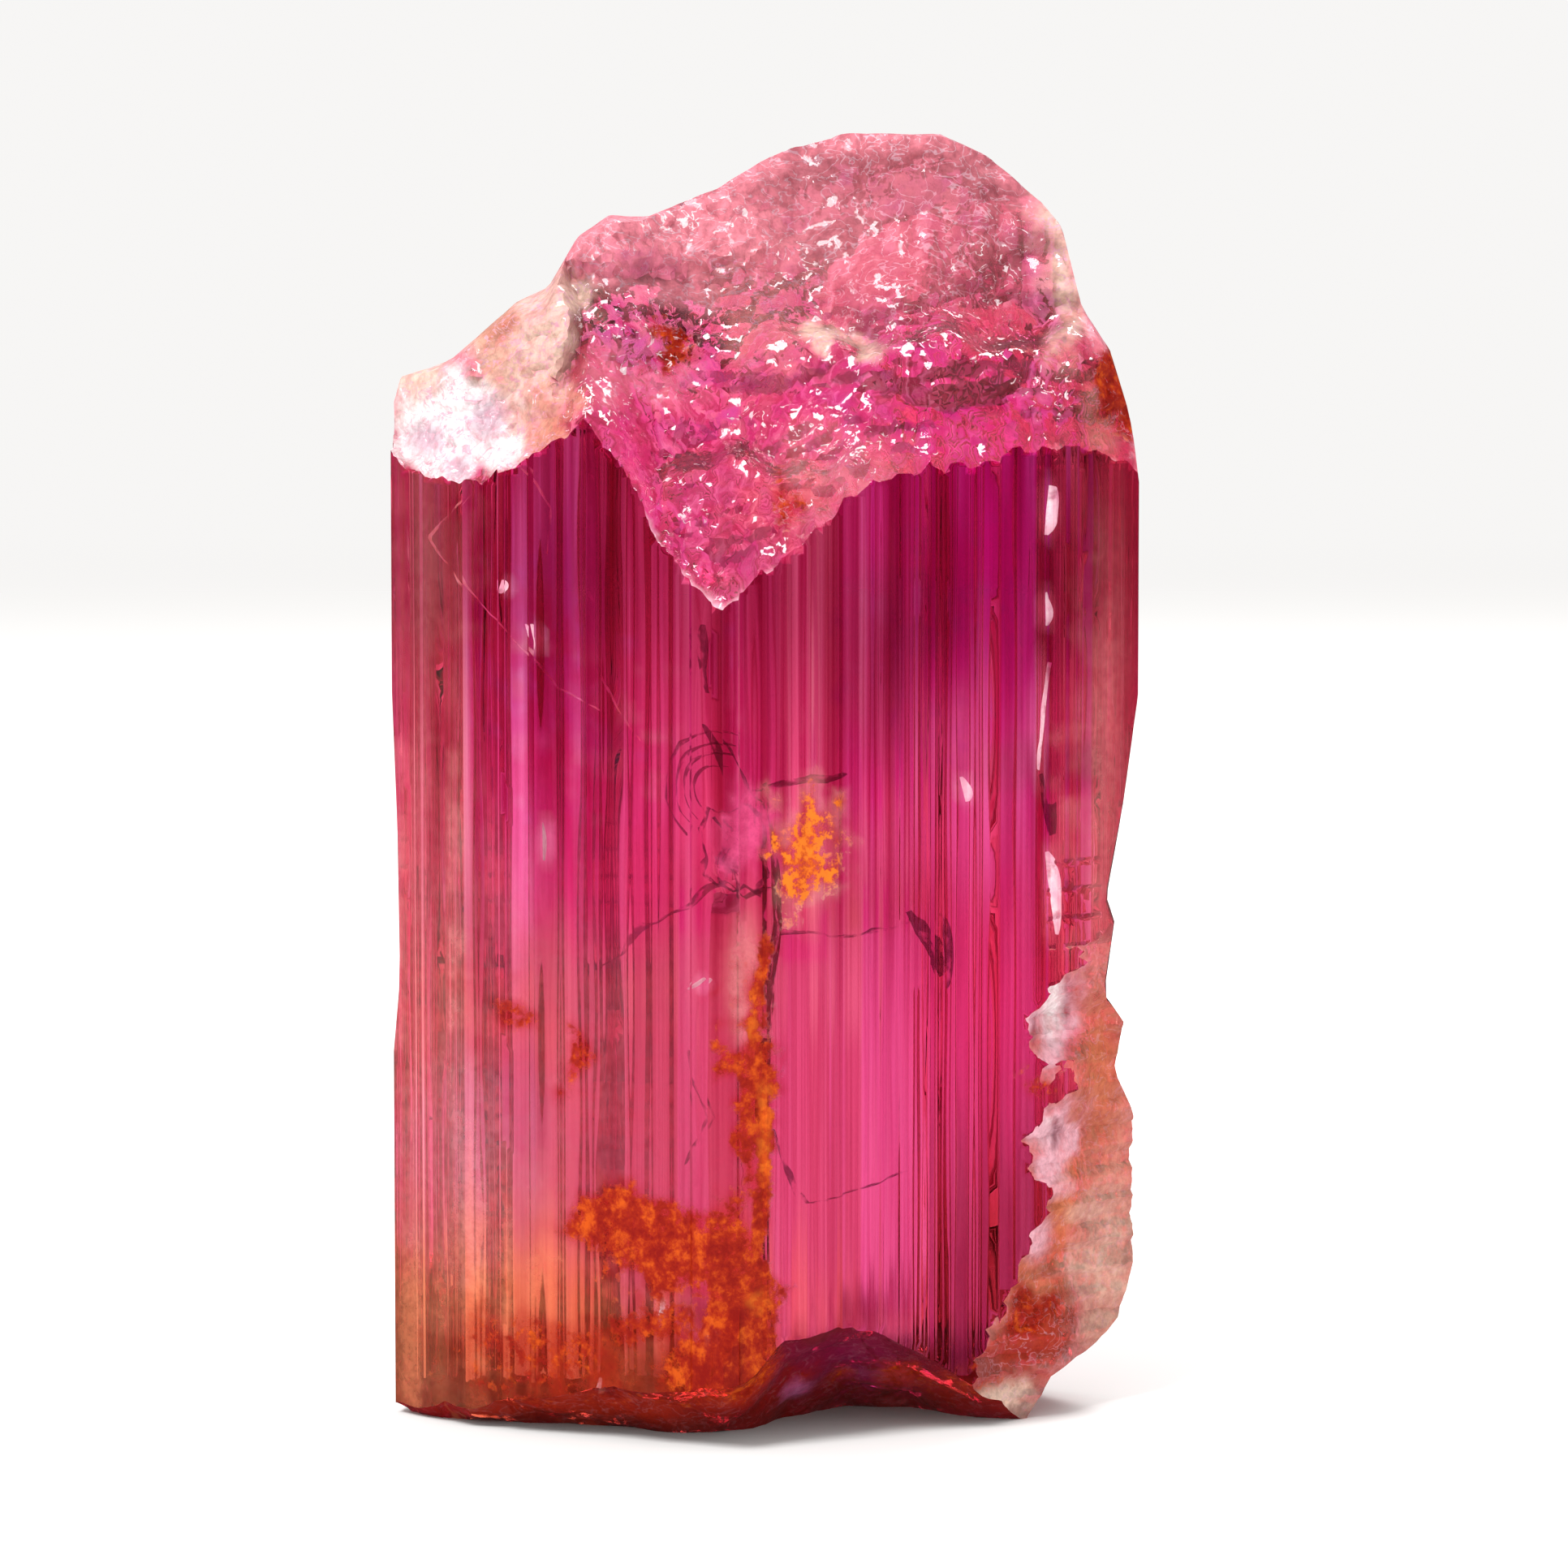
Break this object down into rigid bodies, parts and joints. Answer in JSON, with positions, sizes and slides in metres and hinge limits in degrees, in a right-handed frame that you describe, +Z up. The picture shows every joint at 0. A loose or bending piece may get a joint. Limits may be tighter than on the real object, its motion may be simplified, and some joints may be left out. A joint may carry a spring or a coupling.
{
  "type": "imperial topaz crystal",
  "caption": "Natural prism of pink to orange topaz with lengthwise growth ledges, a rough broken top and a flat cleavage foot that it stands on.",
  "frame": {"origin": "under the middle of the crystal's box, on the surface that it stands on", "axes": "+Z up along the crystal's long axis, +X to the right, +Y to the back; the obtuse edge between the two broad front faces points to -Y"},
  "size_m": [0.0182, 0.0116, 0.0314],
  "materials": {
    "topaz": "clear pink topaz, colour-zoned to orange, with striated faces and rough conchoidal breaks"
  },
  "bodies": {
    "root": {"topaz_crystal": "topaz"}
  },
  "joints": []
}
